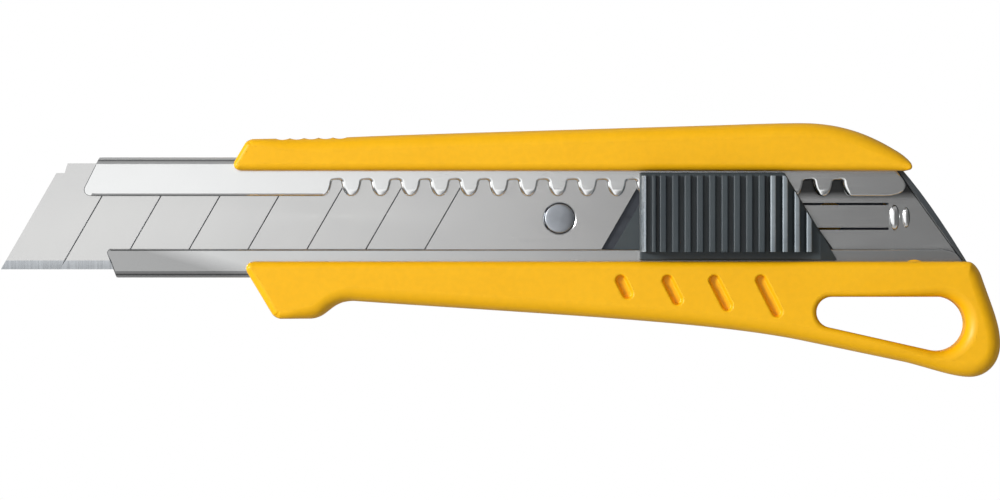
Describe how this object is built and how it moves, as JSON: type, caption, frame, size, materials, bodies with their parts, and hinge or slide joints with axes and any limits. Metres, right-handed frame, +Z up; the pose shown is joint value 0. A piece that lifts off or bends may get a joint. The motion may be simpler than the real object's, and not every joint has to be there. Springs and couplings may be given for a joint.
{
  "type": "snap-off utility knife",
  "caption": "Utility knife with a snap-off blade in a toothed steel channel, a self-locking ribbed thumb slider, a moulded handle with a hanging loop and a pull-off butt cap.",
  "frame": {"origin": "middle of the underside of the whole knife, which lies on the handle's flat back with the blade drawn out by about two segments", "axes": "+X along the handle from the blade's tip to the butt, +Y across the handle from the cutting edge to the blade's spine, +Z up from the handle's back to the thumb slider"},
  "size_m": [0.1694, 0.0432, 0.0155],
  "materials": {
    "yellow_plastic": "smooth moulded ABS, satin gloss",
    "dark_plastic": "fine matte texture",
    "black_plastic": "fine matte texture",
    "channel_steel": "folded stainless sheet with a fine lengthwise grain",
    "blade_steel": "ground carbon steel",
    "plain_steel": "plain pressed steel"
  },
  "bodies": {
    "handle": {"handle_body": "yellow_plastic", "blade_channel": "channel_steel", "spare_blade_1": "blade_steel", "spare_blade_2": "blade_steel"},
    "cap": {"end_cap": "black_plastic"},
    "carriage": {"snap_off_blade": "blade_steel", "holder_plate": "plain_steel", "blade_stud": "plain_steel", "slider_core": "dark_plastic", "lock_spring": "plain_steel", "core_rivet_front": "plain_steel", "core_rivet_rear": "plain_steel"},
    "knob": {"thumb_slider": "dark_plastic"}
  },
  "joints": [
    {"name": "blade_slide", "type": "slide", "parent": "handle", "child": "carriage", "axis": [-1, 0, 0], "range_m": [-0.02, 0.065], "deforming": ["lock_spring"]},
    {"name": "knob_play", "type": "slide", "parent": "carriage", "child": "knob", "axis": [-1, 0, 0], "range_m": [-0.0008, 0.0008], "stiffness_N_per_m": 300},
    {"name": "cap_pull", "type": "slide", "parent": "handle", "child": "cap", "axis": [1, 0, 0], "range_m": [0, 0.014]}
  ]
}
